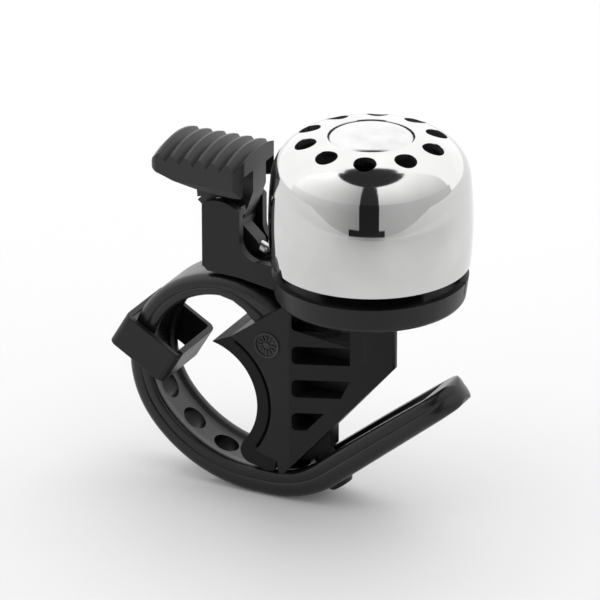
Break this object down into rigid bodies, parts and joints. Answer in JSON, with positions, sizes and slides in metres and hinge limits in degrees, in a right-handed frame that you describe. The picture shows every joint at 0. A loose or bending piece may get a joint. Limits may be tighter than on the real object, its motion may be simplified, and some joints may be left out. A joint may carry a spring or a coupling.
{
  "type": "bicycle bell",
  "caption": "Small handlebar bell: polished perforated dome over a black base, sprung ribbed thumb lever, ribbed bracket and a rubber wrap-round strap with a sliding keeper.",
  "frame": {"origin": "on the handlebar's axis, midway across the bracket's width", "axes": "+Y along the handlebar, +Z along the dome's axis towards its crown, +X from the handlebar towards the bell"},
  "size_m": [0.0678, 0.036, 0.0716],
  "materials": {
    "chrome_dome": "mirror polish",
    "chrome_cap": "bright, lightly brushed",
    "steel_screws": "satin",
    "steel_pins": "satin",
    "steel_hammer": "bright",
    "steel_spring": "drawn wire",
    "brass_insert": "turned",
    "rubber_isolator": "matt",
    "rubber_pad": "matt moulded",
    "rubber_strap": "satin moulded",
    "plastic_base": "satin moulded",
    "plastic_lever": "satin moulded",
    "plastic_bracket": "fine moulded texture",
    "plastic_keeper": "satin moulded",
    "plastic_emblem": "raised relief, satin"
  },
  "bodies": {
    "frame": {"bell_dome": "chrome_dome", "dome_cap": "chrome_cap", "dome_screw": "steel_screws", "dome_washer": "steel_screws", "dome_isolator": "rubber_isolator", "threaded_insert": "brass_insert", "bell_base": "plastic_base", "base_screw": "steel_screws", "base_washer": "steel_screws", "lever_pin": "steel_pins", "lever_spring": "steel_spring", "lever_bumper": "rubber_isolator", "bracket_body": "plastic_bracket", "emblem_disc": "plastic_emblem", "saddle_pad": "rubber_pad", "strap": "rubber_strap", "strap_anchor_pin": "steel_pins"},
    "lever": {"thumb_lever": "plastic_lever", "hammer_head": "steel_hammer"},
    "keeper": {"strap_keeper": "plastic_keeper"}
  },
  "joints": [
    {"name": "lever_press", "type": "hinge", "parent": "frame", "child": "lever", "pos_m": [0.0027, 0, 0.0318], "axis": [0, -1, 0], "range_deg": [0, 25], "stiffness_Nm_per_rad": 0.02, "springref_deg": -20.05, "deforming": ["lever_spring"]},
    {"name": "keeper_slide", "type": "hinge", "parent": "frame", "child": "keeper", "pos_m": [0.0034, 0, 0.0038], "axis": [0, 1, 0], "range_deg": [-35, 30]}
  ]
}
